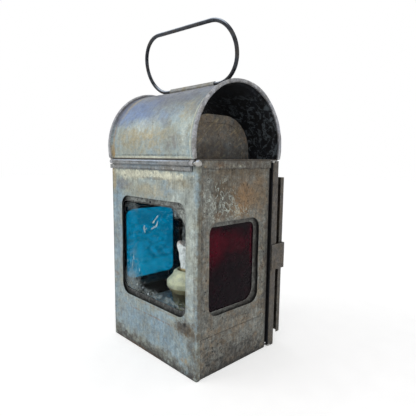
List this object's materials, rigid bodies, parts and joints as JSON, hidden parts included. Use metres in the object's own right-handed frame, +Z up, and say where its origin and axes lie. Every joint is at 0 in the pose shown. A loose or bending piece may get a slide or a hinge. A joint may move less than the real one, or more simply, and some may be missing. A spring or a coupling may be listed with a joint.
{
  "type": "locomotive gauge lamp",
  "caption": "Small oil lamp of tinned sheet with front and side panes, a half-round vented hood that tips, a ring handle, a back door with a lamp-iron slot, and a lift-out burner.",
  "frame": {"origin": "centre of the base's underside, straight below the crown of the hood", "axes": "+Z up, -Y towards the clear front pane, +X towards the red pane on the lamp's right in the front view, +Y towards the back door"},
  "size_m": [0.1134, 0.1, 0.2503],
  "materials": {
    "tin_front": "weathered tin plate, grey-green with a blue sheen",
    "tin_side": "weathered tin plate, brown-grey and mottled",
    "tin_hood": "weathered tin plate with blue and tan patches",
    "tin_rim": "worn bright along the edge",
    "tin_chimney": "smoke-browned tin plate",
    "tin_inner": "dull tin plate, sooty inside",
    "tin_door": "brown-grey weathered tin plate",
    "steel_wire": "dark steel wire",
    "tin_fount": "dull tin plate with a blue sheen",
    "clear_glass": "clear flat glass, a little dirty",
    "blue_glass": "rolled blue glass",
    "red_glass": "dark ruby glass",
    "brass": "dull brass",
    "brass_pale": "pale tarnished brass",
    "cotton": "white braided cotton"
  },
  "bodies": {
    "case": {"front_panel": "tin_front", "left_panel": "tin_front", "right_panel": "tin_side", "left_top_band": "tin_front", "right_top_band": "tin_side", "base_plate": "tin_side", "rear_collar": "tin_side", "front_pane_frame": "tin_inner", "left_pane_frame": "tin_inner", "right_pane_frame": "tin_inner", "front_glass": "clear_glass", "left_glass": "blue_glass", "right_glass": "red_glass", "hood_hinge_strip": "tin_front", "hood_hinge_pin": "steel_wire", "door_hinge_ears": "steel_wire", "door_hinge_pin": "steel_wire", "door_catch_spring": "steel_wire"},
    "hood": {"hood_sheet": "tin_hood", "hood_rim_left": "tin_rim", "hood_rim_right": "tin_rim", "hood_deck": "tin_hood", "hood_knuckles": "tin_rim", "chimney_barrel": "tin_chimney", "chimney_end_left": "tin_chimney", "chimney_end_right": "tin_chimney", "handle_tube": "tin_hood"},
    "handle": {"ring_handle": "steel_wire"},
    "door": {"door_panel": "tin_door", "guide_rail_left": "tin_door", "guide_rail_right": "tin_door", "belt_strap": "tin_door", "belt_rivets": "steel_wire"},
    "fount": {"fount_tank": "tin_fount", "fount_top": "tin_fount", "fount_collar": "brass"},
    "burner": {"burner_bowl": "brass", "burner_gallery": "brass_pale", "wick_tube": "brass"},
    "wick": {"wick": "cotton"},
    "winder": {"winder_spindle": "brass", "winder_wheel": "brass"}
  },
  "joints": [
    {"name": "handle_swing", "type": "hinge", "parent": "hood", "child": "handle", "pos_m": [0, 0, 0.2054], "axis": [1, 0, 0], "range_deg": [-101, 74]},
    {"name": "hood_tip", "type": "hinge", "parent": "case", "child": "hood", "pos_m": [0, -0.043, 0.1481], "axis": [1, 0, 0], "range_deg": [0, 110]},
    {"name": "door_swing", "type": "hinge", "parent": "case", "child": "door", "pos_m": [0.0529, 0.037, 0.075], "axis": [0, 0, -1], "range_deg": [0, 120]},
    {"name": "fount_lift", "type": "slide", "parent": "case", "child": "fount", "axis": [0, 0, 1], "range_m": [0, 0.085]},
    {"name": "burner_unscrew", "type": "hinge", "parent": "fount", "child": "burner", "pos_m": [0, -0.0025, 0.0305], "axis": [0, 0, 1], "range_deg": [0, 540]},
    {"name": "winder_turn", "type": "hinge", "parent": "burner", "child": "winder", "pos_m": [0.0094, -0.0025, 0.0378], "axis": [0, 1, 0], "range_deg": [0, 150]},
    {"name": "wick_raise", "type": "slide", "parent": "burner", "child": "wick", "axis": [0, 0, 1], "range_m": [0, 0.00681]}
  ],
  "couplings": [
    {"joint": "winder_turn", "follows": "wick_raise", "rad_per_m": 384.62}
  ]
}
